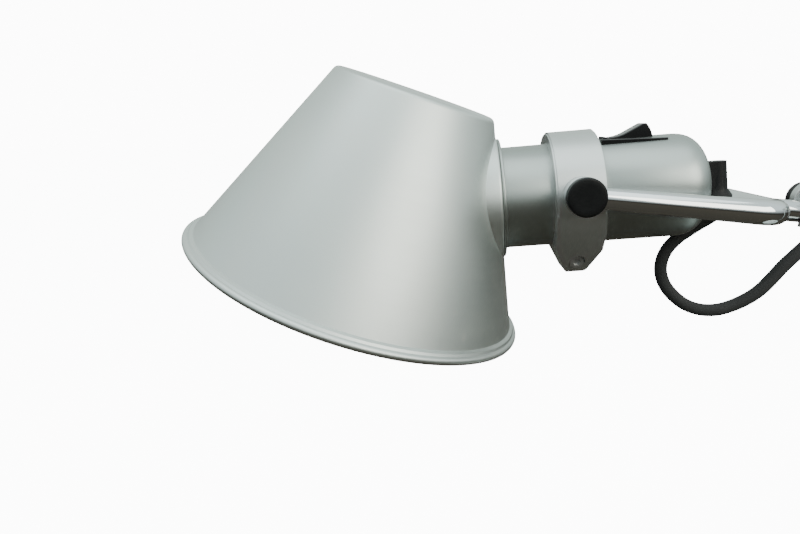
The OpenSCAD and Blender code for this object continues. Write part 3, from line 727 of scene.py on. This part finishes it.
@dataclass
class Shade:
    """Spun shade with its rolled rim and the round seat for the tube, in millimetres."""

    rim_d: float = 180.0
    top_d: float = 81.0
    height: float = 100.0
    wall: float = 1.2
    bead_r: float = 1.9
    bead_z: float = 0.4
    lip_h: float = 4.5
    top_edge: float = 2.2
    seat_r: float = 31.5
    seat_x: float = -35.4
    steps: int = 224

    def build(self) -> None:
        """Builds the shade's wall and its seat as one piece."""
        place = PLACES.shade()
        bm = bmesh.new()
        spin_profile(bm, self._outside(), self.steps, 0)
        inside = bmesh.new()
        spin_profile(inside, self._inside(), self.steps, 1)
        bmesh.ops.recalc_face_normals(bm, faces=bm.faces[:])
        bmesh.ops.recalc_face_normals(inside, faces=inside.faces[:])
        bmesh.ops.reverse_faces(inside, faces=inside.faces[:])
        held = bpy.data.meshes.new("shade_inside_held")
        inside.to_mesh(held)
        inside.free()
        bm.from_mesh(held)
        bpy.data.meshes.remove(held)
        bmesh.ops.remove_doubles(bm, verts=bm.verts[:], dist=1e-6)
        bm.transform(place)
        self._seat(bm)
        smooth_by_angle(bm, 30.0)
        materials = [SATIN.material(place, "shade"), WHITE_LACQUER.material()]
        piece = new_object("lamp_shade", to_mesh("lamp_shade", bm), materials)
        report(piece, "head", ["shade"])

    def _cone(self) -> tuple[float, float]:
        """Returns the wall's radius at the rim, and how much it narrows in a millimetre."""
        rim = self.rim_d / 2 - self.bead_r - 0.8
        return rim, (rim - self.top_d / 2) / self.height

    def _outside(self) -> Profile:
        """Returns the outline of the outer side, from the top's middle to the bead's underside."""
        rim, narrow = self._cone()
        lip = (rim - self.lip_h * narrow, self.lip_h)
        top = rounded([(0.0, self.height), (self.top_d / 2, self.height), lip], self.top_edge, 6)[:-1]
        centre = self.rim_d / 2 - self.bead_r
        bead_top = self.bead_z + self.bead_r
        flare = [(lip[0] + 0.25, lip[1] - 0.5), (centre - 0.9, bead_top + 1.1), (centre - 0.2, bead_top + 0.1)]
        bead = [
            (centre + self.bead_r * math.cos(math.radians(a)), self.bead_z + self.bead_r * math.sin(math.radians(a)))
            for a in range(75, -106, -15)
        ]
        return top + [lip] + flare + bead

    def _inside(self) -> Profile:
        """Returns the outline of the inner side, from the bead's underside to the top's middle."""
        rim, narrow = self._cone()
        centre = self.rim_d / 2 - self.bead_r
        shell = self.wall * math.sqrt(1 + narrow * narrow)
        start = (
            centre + self.bead_r * math.cos(math.radians(-105)),
            self.bead_z + self.bead_r * math.sin(math.radians(-105)),
        )
        turn = (centre - self.bead_r * 0.95, self.bead_z + 0.2)
        top = self.height - self.wall
        corner = (rim - shell - top * narrow, top)
        wall = rounded([turn, corner, (0.0, top)], self.top_edge, 5)
        return [start] + wall

    def _seat(self, bm: bmesh.types.BMesh) -> None:
        """Adds the flat round seat, with its side run down onto the wall.

        Args:
            bm: The shade's mesh, in the row frame.
        """
        rim, narrow = self._cone()
        tube, shade = PLACES.tube(), PLACES.shade().inverted()
        seat = bmesh.new()
        edge = 1.3
        outline = rounded([(24.5, 0.0), (self.seat_r, 0.0), (self.seat_r, -30.0)], edge, 4)
        spin_profile(seat, outline, 128)
        seat.transform(tube @ moved(self.seat_x, 0, 0) @ turned("Y", 90))
        bmesh.ops.recalc_face_normals(seat, faces=seat.faces[:])
        along = tube.to_3x3() @ Vector((1, 0, 0))
        feet = [v for v in seat.verts if (tube.inverted() @ v.co).x < (self.seat_x - 20) * MM]
        for vert in feet:
            low, high = 0.0, 34.0
            for _ in range(30):
                middle = (low + high) / 2
                local = (shade @ (vert.co + along * middle * MM)) / MM
                inside = math.hypot(local.x, local.y) < rim - local.z * narrow - 0.4
                low, high = (middle, high) if inside else (low, middle)
            vert.co += along * low * MM
        held = bpy.data.meshes.new("seat_held")
        seat.to_mesh(held)
        seat.free()
        before = set(bm.faces)
        bm.from_mesh(held)
        bpy.data.meshes.remove(held)
        outward = tube.to_3x3() @ Vector((1, 0, 0))
        added = [f for f in bm.faces if f not in before]
        flat = max(added, key=lambda f: abs(f.normal.dot(outward)))
        if flat.normal.dot(outward) < 0:
            bmesh.ops.reverse_faces(bm, faces=added)


@dataclass
class HeadTube:
    """Round metal of the head behind the shade, in millimetres."""

    tube_r: float = 25.25
    bore: float = 23.85
    neck_front: float = -44.0
    neck_rear: float = -0.3
    flange_r: float = 29.6
    flange_t: float = 1.7
    seat_x: float = -35.4
    housing_l: float = 65.3
    dome_l: float = 17.4
    dome_power: float = 0.75

    def build(self) -> None:
        """Builds the neck, its flange, the rear housing and the clamp ring."""
        axis = PLACES.tube() @ turned("Y", 90)
        metal = DRAWN.material(axis, "tube")
        r, b = self.tube_r, self.bore
        rear, fore = self.neck_rear, self.neck_front
        neck = rounded([(b, rear), (r, rear), (r, fore), (b, fore), (b, rear)], 0.3)
        report(spun_piece("neck", neck, axis, metal, 160), "head", ["neck_tube"])
        front, back = self.seat_x, self.seat_x + self.flange_t
        edge = self.flange_r
        ring = rounded([(r - 0.1, front + 0.25), (edge, front + 0.25), (edge, back), (r - 0.1, back + 0.5)], 0.55, 4)
        report(spun_piece("flange", ring, axis, metal, 160), "head", ["shade_flange"])
        report(spun_piece("housing", self._dome(), axis, metal, 160, 50.0), "head", ["rear_housing"])
        ring_piece = copied_piece("tilt_ring", "clamp_ring", CAST.material(), 0.3, 2, 50.0)
        report(ring_piece, "head", ["clamp_ring"])
        for node, width in (("clamp_screw", 0.25), ("clamp_nut", 0.25)):
            report(copied_piece(node + "_part", node, STEEL.material(), width, 2), "head", [node])

    def _dome(self) -> Profile:
        """Returns the housing's outline, from its open front over its rounded rear and back inside."""
        outer = [
            (
                self.tube_r * math.cos(math.radians(a)) ** self.dome_power,
                self.housing_l - self.dome_l + self.dome_l * math.sin(math.radians(a)) ** self.dome_power,
            )
            for a in range(3, 88, 3)
        ]
        start = [(self.bore, 0.0), (self.tube_r - 0.3, 0.0), (self.tube_r, 0.3), (self.tube_r, self.housing_l - self.dome_l)]
        return start + outer + [(0.0, self.housing_l)]


@dataclass
class Fittings:
    """Small pieces of the head: the switch, the gland, the pivots' knobs, the holder and the bulb."""

    knob_r: float = 8.75
    knob_inner: float = 39.5
    knob_face: float = 45.2

    def build(self) -> None:
        """Builds the fittings."""
        gloss, matte = GLOSS_BLACK.material(), MATTE_BLACK.material()
        report(copied_piece("switch_frame", "switch_bezel", gloss, 0.35, 3), "head", ["switch_bezel"])
        report(copied_piece("switch_rocker", "rocker", gloss, 0.5, 3, 26.0), "rocker", ["rocker"])
        report(copied_piece("gland", "cord_gland", matte, 0.7, 4), "head", ["cord_gland"])
        self._knobs(matte)
        bulb = copied_piece("bulb", "bulb_glass", OPAL.material(), 0.0)
        report(bulb, "head", ["bulb_glass"])
        holder = copied_piece("holder", "lamp_holder", WHITE_PLASTIC.material(), 0.6)
        report(holder, "head", ["lamp_holder"])
        lock = copied_piece("lock_ring", "shade_lock_ring", WHITE_PLASTIC.material(), 0.6)
        report(lock, "head", ["shade_lock_ring"])
        dress("pivot_screws", STEEL)
        dress("contact_tongue", BRASS)
        dress("bulb_cap", CAP_METAL)
        dress("switch_body", MATTE_BLACK)
        dress("terminal_block", WHITE_PLASTIC)
        dress("head_wires", BRASS)

    def _knobs(self, material: bpy.types.Material) -> None:
        """Builds the round knobs over the pivots, as one piece.

        Args:
            material: Their material.
        """
        r = self.knob_r
        inner, face = self.knob_inner, self.knob_face
        corners = [(0.0, inner), (r, inner), (r, face - 0.15), (r - 2.2, face), (0.0, face - 0.25)]
        outline = rounded(corners, 0.9, 5)
        bm = bmesh.new()
        for side in (-90, 90):
            one = bmesh.new()
            spin_profile(one, outline, 96)
            bmesh.ops.recalc_face_normals(one, faces=one.faces[:])
            one.transform(PLACES.fork() @ turned("X", side))
            held = bpy.data.meshes.new("knob_held")
            one.to_mesh(held)
            one.free()
            bm.from_mesh(held)
            bpy.data.meshes.remove(held)
        smooth_by_angle(bm, 40.0)
        piece = new_object("pivot_knobs", to_mesh("pivot_knobs", bm), [material])
        report(piece, "fork", ["pivot_caps"])


@dataclass
class Fork:
    """Bent chrome rod that carries the head, and the block on its stem, in millimetres."""

    leg_y: float = 36.5
    eye_rod_r: float = 4.85
    rod_r: float = 5.65
    reach: float = 88.3
    bend_r: float = 12.0
    stem_r: float = 5.4
    drop: float = 0.4
    stem_drop: float = 1.6
    leg_x: float = 9.0
    eye_r: float = 8.6
    eye_t: float = 6.0
    around: int = 48

    def build(self) -> None:
        """Builds the rod and the pieces at its end."""
        place = PLACES.fork()
        bm = bmesh.new()
        self._leg(bm)
        bmesh.ops.mirror(bm, geom=bm.verts[:] + bm.edges[:] + bm.faces[:], axis="Y", merge_dist=1e-6)
        bmesh.ops.remove_doubles(bm, verts=bm.verts[:], dist=2e-6)
        self._stem(bm)
        self._eyes(bm)
        bmesh.ops.recalc_face_normals(bm, faces=bm.faces[:])
        smooth_by_angle(bm, 45.0)
        bm.transform(place)
        rod = new_object("fork_bar", to_mesh("fork_bar", bm), [CHROME.material(place @ turned("Y", 90), "fork")])
        report(rod, "fork", ["fork_rod"])
        cast, matte = CAST.material(), MATTE_BLACK.material()
        report(copied_piece("wrist", "wrist_block", cast, 1.0, 4), "fork", ["wrist_block"])
        report(copied_piece("wrist_knob", "wrist_nut", matte, 0.7, 4), "fork", ["wrist_nut"])
        report(copied_piece("wrist_disc", "wrist_washer", STEEL.material(), 0.25), "fork", ["wrist_washer"])
        report(copied_piece("ferrule", "cord_ferrule", matte, 0.4), "fork", ["cord_ferrule"])
        dress("wrist_pin", STEEL)
        dress("friction_washers", RUBBER)

    def _leg(self, bm: bmesh.types.BMesh) -> None:
        """Adds one leg from its eye, round the bend to the middle of the cross bar.

        Args:
            bm: The mesh, in the fork's frame.
        """
        place = moved(self.leg_x, self.leg_y, -self.drop) @ turned("Y", 90)
        made = bmesh.ops.create_circle(bm, cap_ends=False, radius=self.eye_rod_r * MM, segments=self.around, matrix=place)
        edges = list({e for v in made["verts"] for e in v.link_edges})
        straight_end = self.reach - self.bend_r
        for k in range(1, 7):
            grown = bmesh.ops.extrude_edge_only(bm, edges=edges)
            verts = [g for g in grown["geom"] if isinstance(g, bmesh.types.BMVert)]
            edges = [g for g in grown["geom"] if isinstance(g, bmesh.types.BMEdge)]
            step = (straight_end - self.leg_x) / 6
            bmesh.ops.translate(bm, vec=Vector((step * MM, 0, 0)), verts=verts)
            before = self.eye_rod_r + (self.rod_r - self.eye_rod_r) * (k - 1) / 6
            after = self.eye_rod_r + (self.rod_r - self.eye_rod_r) * k / 6
            centre = Vector((self.leg_x + step * k, self.leg_y, -self.drop)) * MM
            factor = after / before
            bmesh.ops.scale(bm, vec=Vector((factor, factor, factor)), space=Matrix.Translation(-centre), verts=verts)
        centre = Vector((straight_end, self.leg_y - self.bend_r, -self.drop)) * MM
        verts = list({v for e in edges for v in e.verts})
        turn = bmesh.ops.spin(
            bm, geom=verts + edges, cent=centre, axis=(0, 0, 1), angle=-math.pi / 2, steps=18, use_merge=False,
            use_normal_flip=False, use_duplicate=False,
        )
        edges = [g for g in turn["geom_last"] if isinstance(g, bmesh.types.BMEdge)]
        grown = bmesh.ops.extrude_edge_only(bm, edges=edges)
        verts = [g for g in grown["geom"] if isinstance(g, bmesh.types.BMVert)]
        for vert in verts:
            vert.co.y = 0.0

    def _stem(self, bm: bmesh.types.BMesh) -> None:
        """Adds the stem behind the cross bar, with a small weld at its foot.

        Args:
            bm: The mesh, in the fork's frame.
        """
        r, start, end = self.stem_r, self.reach, 122.1
        outline = [(r + 0.1, start + 0.5), (r, start + 4.0), (r, end - 0.5), (r - 0.5, end), (0.0, end)]
        stem = bmesh.new()
        spin_profile(stem, outline, self.around)
        stem.transform(moved(0, 0, -self.stem_drop) @ turned("Y", 90))
        held = bpy.data.meshes.new("stem_held")
        stem.to_mesh(held)
        stem.free()
        bm.from_mesh(held)
        bpy.data.meshes.remove(held)

    def _eyes(self, bm: bmesh.types.BMesh) -> None:
        """Adds the flattened eyes that the pivots' screws pass through.

        Args:
            bm: The mesh, in the fork's frame.
        """
        half = self.eye_t / 2
        outline = rounded([(3.1, -half), (self.eye_r, -half), (self.eye_r, half), (3.1, half), (3.1, -half)], 0.7, 3)
        for side in (-1, 1):
            eye = bmesh.new()
            spin_profile(eye, outline, 64)
            eye.transform(moved(0, side * self.leg_y, 0) @ turned("X", 90))
            held = bpy.data.meshes.new("eye_held")
            eye.to_mesh(held)
            eye.free()
            bm.from_mesh(held)
            bpy.data.meshes.remove(held)
            cap = bmesh.ops.create_circle(
                bm, cap_ends=True, radius=self.eye_rod_r * MM, segments=self.around,
                matrix=moved(self.leg_x, side * self.leg_y, -self.drop) @ turned("Y", 90),
            )
            LOG.debug("eye cap has %d corners", len(cap["verts"]))


@dataclass
class Arms:
    """Two arm tubes with their joints, springs and leads, in millimetres."""

    arm_r: float = 10.0
    wall: float = 1.5
    start: float = 46.0
    lower_l: float = 420.0
    upper_l: float = 400.0
    tip_start: float = 34.0
    cap_r: float = 13.5
    ear_out: float = 9.3
    cap_h: float = 5.0

    def build(self) -> None:
        """Builds both arms."""
        self._tube("lower_tube", PLACES.lower(), self.lower_l - self.start, "lower_arm", "lower_arm_tube")
        self._tube("upper_tube", PLACES.upper(), self.upper_l - self.tip_start, "upper_arm", "upper_arm_tube")
        cast, matte = CAST.material(), MATTE_BLACK.material()
        for name, node, body in (
            ("lower_socket", "lower_eye", "lower_arm"), ("elbow_fork", "elbow_clevis", "lower_arm"),
            ("upper_socket", "elbow_eye", "upper_arm"), ("tip_disc", "tip_eye", "arm_tip"),
            ("post_yoke", "swivel_post", "post"),
        ):
            report(copied_piece(name, node, cast, 0.7 if node == "tip_eye" else 0.9, 3), body, [node])
        report(copied_piece("tip_sleeve", "tip_bush", matte, 0.5), "upper_arm", ["tip_bush"])
        self._caps("elbow_covers", PLACES.elbow(), "lower_arm", "elbow_caps", matte)
        self._caps("post_covers", Matrix.Translation(joint_point("lower_tilt")), "post", "post_caps", matte)
        for node in (
            "lower_spring", "lower_spring_hook", "upper_spring", "upper_spring_hook", "elbow_pin", "tip_ring", "post_pin",
            "post_ring",
        ):
            dress(node, STEEL)
        for node in ("lower_lead", "upper_lead"):
            dress(node, RUBBER)

    def _tube(self, name: str, place: Matrix, end: float, body: str, node: str) -> None:
        """Builds one arm tube.

        Args:
            name: The piece's name.
            place: The arm's frame.
            end: Height of the tube's far end in that frame.
            body: The body that it rides on.
            node: The CAD node that it stands for.
        """
        r, b, s = self.arm_r, self.arm_r - self.wall, self.start
        outline = rounded([(b, s), (r, s), (r, end), (b, end), (b, s)], 0.4, 3)
        report(spun_piece(name, outline, place, DRAWN.material(place, name), 96), body, [node])

    def _caps(self, name: str, place: Matrix, body: str, node: str, material: bpy.types.Material) -> None:
        """Builds the pair of round covers over a joint.

        Args:
            name: The piece's name.
            place: The joint's frame.
            body: The body that they ride on.
            node: The CAD node that they stand for.
            material: Their material.
        """
        low, high, r = self.ear_out + 0.02, self.ear_out + self.cap_h, self.cap_r
        outline = rounded(
            [(0.0, low), (r, low), (r, high), (r - 3.2, high), (r - 3.8, high - 0.7), (0.0, high - 0.7)], 0.8, 4
        )
        bm = bmesh.new()
        for side in (-90, 90):
            one = bmesh.new()
            spin_profile(one, outline, 96)
            bmesh.ops.recalc_face_normals(one, faces=one.faces[:])
            one.transform(place @ turned("X", side))
            held = bpy.data.meshes.new("cover_held")
            one.to_mesh(held)
            one.free()
            bm.from_mesh(held)
            bpy.data.meshes.remove(held)
        smooth_by_angle(bm, 40.0)
        report(new_object(name, to_mesh(name, bm), [material]), body, [node])


@dataclass
class Base:
    """Round weighted base with its swivel bush, in millimetres."""

    radius: float = 115.0
    height: float = 22.0
    wall: float = 2.0
    pad_t: float = 2.0
    edge_r: float = 7.0
    bush_r: float = 11.0

    def build(self) -> None:
        """Builds the cover and dresses the pieces under it."""
        r, h, w, e = self.radius, self.height, self.wall, self.edge_r
        outline = [(self.bush_r, h - w), (self.bush_r, h)]
        outline += [(r - e + e * math.sin(math.radians(a)), h - e + e * math.cos(math.radians(a))) for a in range(0, 91, 9)]
        outline += [(r, self.pad_t + 0.4), (r - 0.4, self.pad_t), (r - w, self.pad_t), (r - w, h - e)]
        outline += [(self.bush_r, h - w)]
        place = Matrix.Identity(4)
        cover = spun_piece("base_shell", outline, place, SATIN.material(place, "base"), 192, 40.0)
        report(cover, "base", ["base_cover"])
        matte = MATTE_BLACK.material()
        report(copied_piece("swivel_collar", "base_bush", matte, 0.6), "base", ["base_bush"])
        report(copied_piece("mains_gland", "base_gland", matte, 0.5), "base", ["base_gland"])
        report(copied_piece("foot_pad", "base_pad", RUBBER.material(), 0.4), "base", ["base_pad"])
        dress("base_weight", IRON)
        dress("base_screws", STEEL)


@dataclass
class Studio:
    """Camera, a floor that is pale to the camera but dark brown to light, which paints shade under the lamp, and soft
    light.
    """

    camera_offset: tuple[float, float, float] = (-62.1, -327.312, 30.844)
    pitch: float = 77.494
    yaw: float = 4.017
    lens: float = 28.74
    floor_glow: float = 11.0
    white_sky: float = 12.0
    sky_strength: float = 1.2
    top_power: float = 9.0
    top_tint: tuple[float, float, float] = (0.93, 1.0, 1.0)
    right_power: float = 13.0
    right_tint: tuple[float, float, float] = (1.0, 0.96, 0.86)

    def camera(self) -> None:
        """Places the camera."""
        data = bpy.data.cameras.new("camera")
        data.sensor_width = 36.0
        data.lens = self.lens
        data.clip_start = 0.01
        data.clip_end = 50.0
        camera = bpy.data.objects.new("camera", data)
        bpy.context.scene.collection.objects.link(camera)
        turn = turned("Z", self.yaw) @ turned("X", self.pitch)
        camera.matrix_world = Matrix.Translation(joint_point("head_tilt") + Vector(self.camera_offset) * MM) @ turn
        bpy.context.scene.camera = camera

    def light(self) -> None:
        """Adds the floor, the sky and the lamps."""
        self._floor()
        self._sky()
        head = joint_point("head_tilt")
        self._lamp("soft_top", head + Vector((-0.1, -0.35, 1.3)), head, 1.8, 1.2, self.top_power, self.top_tint)
        place, target = head + Vector((0.9, -1.1, 0.7)), head + Vector((-0.1, 0, 0))
        self._lamp("soft_right", place, target, 1.2, 0.9, self.right_power, self.right_tint)

    def _lamp(
        self, name: str, place: Vector, target: Vector, width: float, height: float, power: float,
        tint: tuple[float, float, float],
    ) -> None:
        """Adds one soft area lamp.

        Args:
            name: The lamp's name.
            place: Where it stands.
            target: Where it points.
            width: Its width in metres.
            height: Its height in metres.
            power: Its power in watts.
            tint: Its colour.
        """
        data = bpy.data.lights.new(name, "AREA")
        data.shape = "RECTANGLE"
        data.size = width
        data.size_y = height
        data.energy = power
        data.color = tint
        lamp = bpy.data.objects.new(name, data)
        bpy.context.scene.collection.objects.link(lamp)
        turn = (target - place).to_track_quat("-Z", "Y").to_matrix().to_4x4()
        lamp.matrix_world = Matrix.Translation(place) @ turn

    def _floor(self) -> None:
        """Adds the floor: pale and glowing to the camera, but dark brown to every other ray, so that it puts painted
        shade and dark reflections on the lamp's undersides in place of a pale floor's bounce light.
        """
        bm = bmesh.new()
        bmesh.ops.create_grid(bm, x_segments=2, y_segments=2, size=9.0)
        material = bpy.data.materials.new("pale_floor_dark_bounce")
        material.use_nodes = True
        n = NodeTree(material.node_tree)
        shader = material.node_tree.nodes["Principled BSDF"]
        shader.inputs["Base Color"].default_value = (0.8, 0.8, 0.8, 1.0)
        shader.inputs["Roughness"].default_value = 0.9
        shader.inputs["Emission Color"].default_value = (1.0, 1.0, 1.0, 1.0)
        shader.inputs["Emission Strength"].default_value = self.floor_glow
        # Painted shade: to every ray but the camera's the floor is this dark brown, which darkens the lamp's undersides
        # and the reflections in them.
        bounce_shade = n.add("BsdfDiffuse")
        bounce_shade.inputs["Color"].default_value = (0.05, 0.043, 0.036, 1.0)
        mix = n.add("MixShader")
        n.link(n.add("LightPath").outputs["Is Camera Ray"], mix.inputs[0])
        n.link(bounce_shade.outputs[0], mix.inputs[1])
        n.link(shader.outputs[0], mix.inputs[2])
        n.link(mix.outputs[0], material.node_tree.nodes["Material Output"].inputs["Surface"])
        new_object("studio_floor", to_mesh("studio_floor", bm), [material])

    def _sky(self) -> None:
        """Sets a pale sky that is brighter overhead."""
        world = bpy.data.worlds.new("studio_sky")
        bpy.context.scene.world = world
        world.use_nodes = True
        n = NodeTree(world.node_tree)
        back = world.node_tree.nodes["Background"]
        split = n.add("SeparateXYZ")
        n.link(n.add("TexCoord").outputs["Generated"], split.inputs[0])
        ramp = n.add("ValToRGB")
        ramp.color_ramp.elements[0].position = 0.47
        ramp.color_ramp.elements[0].color = (0.045, 0.04, 0.036, 1.0)
        ramp.color_ramp.elements[1].position = 0.66
        ramp.color_ramp.elements[1].color = (0.87, 1.0, 0.99, 1.0)
        n.link(n.ramp(split.outputs["Z"], -1.0, 1.0), ramp.inputs["Fac"])
        shade_side = n.ramp(split.outputs["Y"], 0.15, 0.75)
        dim = n.add("Mix", data_type="RGBA", blend_type="MULTIPLY")
        dim.inputs["B"].default_value = (0.8, 0.8, 0.76, 1.0)
        n.link(shade_side, dim.inputs["Factor"])
        n.link(ramp.outputs["Color"], dim.inputs["A"])
        n.link(dim.outputs["Result"], back.inputs["Color"])
        back.inputs["Strength"].default_value = self.sky_strength
        white = n.add("Background")
        white.inputs["Color"].default_value = (1.0, 1.0, 1.0, 1.0)
        white.inputs["Strength"].default_value = self.white_sky
        mix = n.add("MixShader")
        n.link(n.add("LightPath").outputs["Is Camera Ray"], mix.inputs[0])
        n.link(back.outputs[0], mix.inputs[1])
        n.link(white.outputs[0], mix.inputs[2])
        n.link(mix.outputs[0], world.node_tree.nodes["World Output"].inputs["Surface"])


def main() -> None:
    """Builds the whole lamp in its studio."""
    logging.basicConfig(level=logging.INFO, format="%(name)s: %(message)s")
    studio = Studio()
    studio.camera()
    assemblies: list[Callable[[], None]] = [
        HeadCord().build, Shade().build, HeadTube().build, Fittings().build, Fork().build, Arms().build, Base().build,
    ]
    for build in assemblies:
        build()
    studio.light()


if __name__ == "__main__":
    main()
